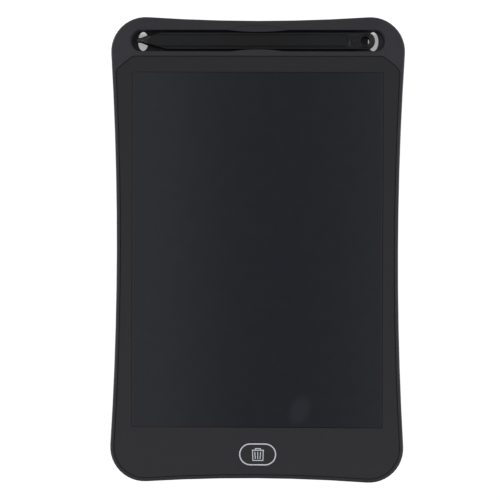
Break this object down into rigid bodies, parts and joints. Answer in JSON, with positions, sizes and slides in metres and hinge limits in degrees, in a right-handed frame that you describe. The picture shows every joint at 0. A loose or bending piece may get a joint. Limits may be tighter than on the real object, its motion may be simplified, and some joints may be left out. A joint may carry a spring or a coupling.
{
  "type": "lcd writing tablet",
  "caption": "Slim writing tablet with a waisted housing, a flexible LCD, an erase key below it and a flat stylus clipped into a bay along the top.",
  "frame": {"origin": "centre of the flat back face that the tablet lies on", "axes": "+X across the screen to the right, +Y along the screen towards the stylus bay, +Z out of the screen"},
  "size_m": [0.145, 0.2296, 0.007],
  "materials": {
    "front_housing": "fine spark-eroded texture, moulded ABS",
    "rear_housing": "fine spark-eroded texture, moulded ABS",
    "border_film": "matt printed PET film with a fine even grain",
    "adhesive": "die-cut transfer adhesive",
    "tape": "black double-sided foam tape",
    "display": "soft satin PET surface over a dark liquid crystal layer",
    "key_ring": "smooth pale ring",
    "stylus_black": "semi-gloss moulded ABS",
    "nib_black": "smooth POM",
    "board_green": "solder resist on glass epoxy",
    "black_plastic": "moulded",
    "white_plastic": "moulded nylon",
    "flex_film": "polyimide film",
    "ferrite": "sintered ferrite",
    "ceramic": "fired ceramic",
    "steel": "nickel plated"
  },
  "bodies": {
    "root": {"front_frame": "front_housing", "rear_cover": "rear_housing", "bezel_film": "border_film", "bezel_adhesive": "adhesive", "lcd_mounting_tape": "tape", "lcd_panel": "display", "lcd_flex_tail": "flex_film", "flex_connector": "white_plastic", "control_board": "board_green", "controller_chip": "black_plastic", "boost_inductor": "ferrite", "boost_diode": "black_plastic", "storage_capacitor_1": "ceramic", "storage_capacitor_2": "ceramic", "board_screw_left": "steel", "board_screw_right": "steel", "erase_switch_body": "steel", "lock_switch_body": "steel", "coin_cell": "steel", "battery_contact_positive": "steel", "battery_contact_negative": "steel"},
    "erase_key": {"erase_key": "border_film", "erase_key_ring": "key_ring", "erase_switch_plunger": "black_plastic"},
    "lock_slider": {"lock_slider": "black_plastic", "lock_switch_lever": "black_plastic"},
    "battery_door": {"battery_door": "rear_housing", "battery_door_screw": "steel"},
    "stylus": {"stylus_body": "stylus_black", "stylus_nib": "nib_black"}
  },
  "joints": [
    {"name": "erase_key_press", "type": "slide", "parent": "root", "child": "erase_key", "axis": [0, 0, -1], "range_m": [0, 0.0003], "stiffness_N_per_m": 5000},
    {"name": "lock_slide", "type": "slide", "parent": "root", "child": "lock_slider", "axis": [1, 0, 0], "range_m": [0, 0.002]},
    {"name": "battery_door_lift", "type": "slide", "parent": "root", "child": "battery_door", "axis": [0, 0, -1], "range_m": [0, 0.012]},
    {"name": "stylus_lift", "type": "slide", "parent": "root", "child": "stylus", "axis": [0, 0, 1], "range_m": [0, 0.025]}
  ]
}
